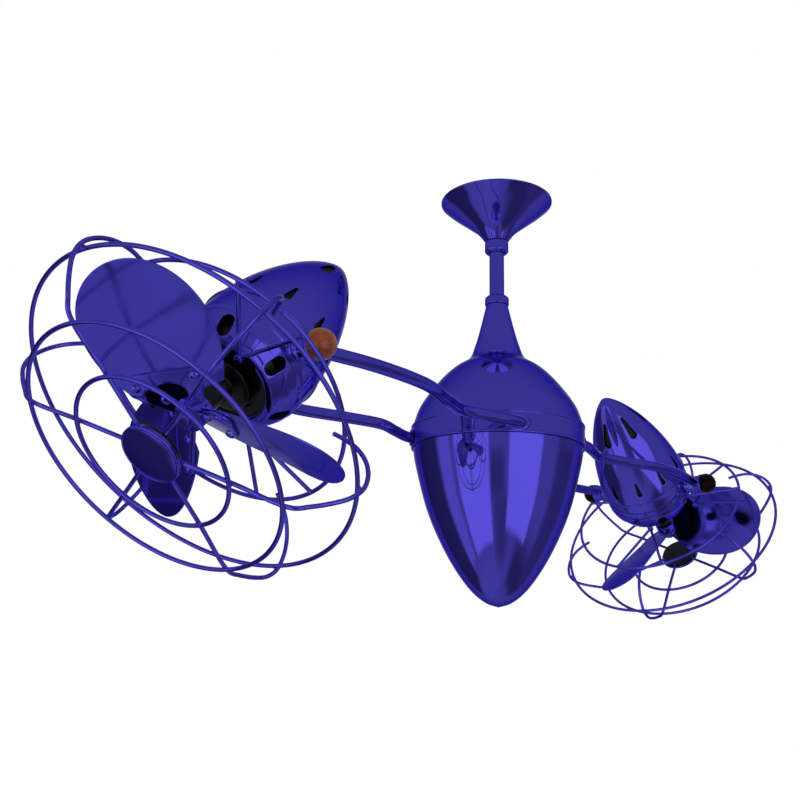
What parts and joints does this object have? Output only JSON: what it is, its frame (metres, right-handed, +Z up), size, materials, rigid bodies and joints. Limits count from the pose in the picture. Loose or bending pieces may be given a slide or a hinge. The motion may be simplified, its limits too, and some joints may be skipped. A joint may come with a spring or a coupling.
{
  "type": "ceiling fan",
  "caption": "Rotating ceiling fan: a trumpet canopy and rod carry an acorn-shaped body whose curved tube arms hold tilting caged fan heads.",
  "frame": {"origin": "middle of the ceiling bracket's top face, which lies against the ceiling", "axes": "+Z up out of the ceiling face along the rod, +X towards the head on the right of the picture, -Y towards the side the picture was taken from"},
  "size_m": [1.1991, 0.327, 0.5056],
  "materials": {
    "mirror_blue": "mirror gloss over metal",
    "blade_blue": "mirror gloss over metal",
    "turned_wood": "lacquered gloss",
    "bare_steel": "plain",
    "gear_brass": "machined",
    "black_casting": "black satin",
    "dark_hub": "black satin"
  },
  "bodies": {
    "hanger": {"ceiling_bracket": "bare_steel", "canopy": "mirror_blue", "canopy_collar": "mirror_blue", "hanger_ball": "bare_steel", "downrod": "mirror_blue", "fixed_gear": "gear_brass", "rod_nut": "bare_steel"},
    "turret": {"neck_collar": "mirror_blue", "upper_shell": "mirror_blue", "band": "mirror_blue", "acorn_shell": "mirror_blue", "arm_carrier": "black_casting", "main_bearing": "bare_steel", "drive_motor": "black_casting", "tie_rod": "bare_steel", "left_front_arm": "mirror_blue", "left_front_grommet": "mirror_blue", "left_back_arm": "mirror_blue", "left_back_grommet": "mirror_blue", "right_front_arm": "mirror_blue", "right_front_grommet": "mirror_blue", "right_back_arm": "mirror_blue", "right_back_grommet": "mirror_blue"},
    "pinion": {"drive_pinion": "gear_brass"},
    "left_head": {"left_rear_cover": "mirror_blue", "left_front_shell": "mirror_blue", "left_motor": "black_casting", "left_front_pivot_stud": "bare_steel", "left_back_pivot_stud": "bare_steel", "left_guard_ribs": "mirror_blue", "left_guard_small_ring": "mirror_blue", "left_guard_large_ring": "mirror_blue", "left_guard_wide_ring": "mirror_blue", "left_guard_rear_frame": "mirror_blue", "left_badge": "mirror_blue"},
    "left_rotor": {"left_rotor_hub": "dark_hub", "left_blade_irons": "mirror_blue", "left_blade_1": "blade_blue", "left_blade_2": "blade_blue", "left_blade_3": "blade_blue"},
    "left_front_clamp": {"left_front_knob": "turned_wood"},
    "left_back_clamp": {"left_back_knob": "turned_wood"},
    "right_head": {"right_rear_cover": "mirror_blue", "right_front_shell": "mirror_blue", "right_motor": "black_casting", "right_front_pivot_stud": "bare_steel", "right_back_pivot_stud": "bare_steel", "right_guard_ribs": "mirror_blue", "right_guard_small_ring": "mirror_blue", "right_guard_large_ring": "mirror_blue", "right_guard_wide_ring": "mirror_blue", "right_guard_rear_frame": "mirror_blue", "right_badge": "mirror_blue"},
    "right_rotor": {"right_rotor_hub": "dark_hub", "right_blade_irons": "mirror_blue", "right_blade_1": "blade_blue", "right_blade_2": "blade_blue", "right_blade_3": "blade_blue"},
    "right_front_clamp": {"right_front_knob": "turned_wood"},
    "right_back_clamp": {"right_back_knob": "turned_wood"}
  },
  "joints": [
    {"name": "turret_spin", "type": "hinge", "parent": "hanger", "child": "turret", "pos_m": [0, 0, -0.31], "axis": [0, 0, 1], "continuous": true},
    {"name": "pinion_spin", "type": "hinge", "parent": "turret", "child": "pinion", "pos_m": [0, -0.0403, -0.28], "axis": [0, 0, 1], "continuous": true},
    {"name": "left_tilt", "type": "hinge", "parent": "turret", "child": "left_head", "pos_m": [-0.409, 0, -0.31], "axis": [0, -1, 0], "range_deg": [-136.4, 43.6]},
    {"name": "left_spin", "type": "hinge", "parent": "left_head", "child": "left_rotor", "pos_m": [-0.409, 0, -0.31], "axis": [-0.6896, 0, -0.7242], "continuous": true},
    {"name": "left_front_clamp_turn", "type": "hinge", "parent": "left_head", "child": "left_front_clamp", "pos_m": [-0.409, -0.091, -0.31], "axis": [0, -1, 0], "range_deg": [0, 360]},
    {"name": "left_back_clamp_turn", "type": "hinge", "parent": "left_head", "child": "left_back_clamp", "pos_m": [-0.409, 0.091, -0.31], "axis": [0, 1, 0], "range_deg": [0, 360]},
    {"name": "right_tilt", "type": "hinge", "parent": "turret", "child": "right_head", "pos_m": [0.409, 0, -0.31], "axis": [0, 1, 0], "range_deg": [-130.1, 49.9]},
    {"name": "right_spin", "type": "hinge", "parent": "right_head", "child": "right_rotor", "pos_m": [0.409, 0, -0.31], "axis": [0.7649, 0, -0.6441], "continuous": true},
    {"name": "right_front_clamp_turn", "type": "hinge", "parent": "right_head", "child": "right_front_clamp", "pos_m": [0.409, -0.091, -0.31], "axis": [0, -1, 0], "range_deg": [0, 360]},
    {"name": "right_back_clamp_turn", "type": "hinge", "parent": "right_head", "child": "right_back_clamp", "pos_m": [0.409, 0.091, -0.31], "axis": [0, 1, 0], "range_deg": [0, 360]}
  ],
  "couplings": [
    {"joint": "pinion_spin", "follows": "turret_spin", "ratio": 3}
  ]
}
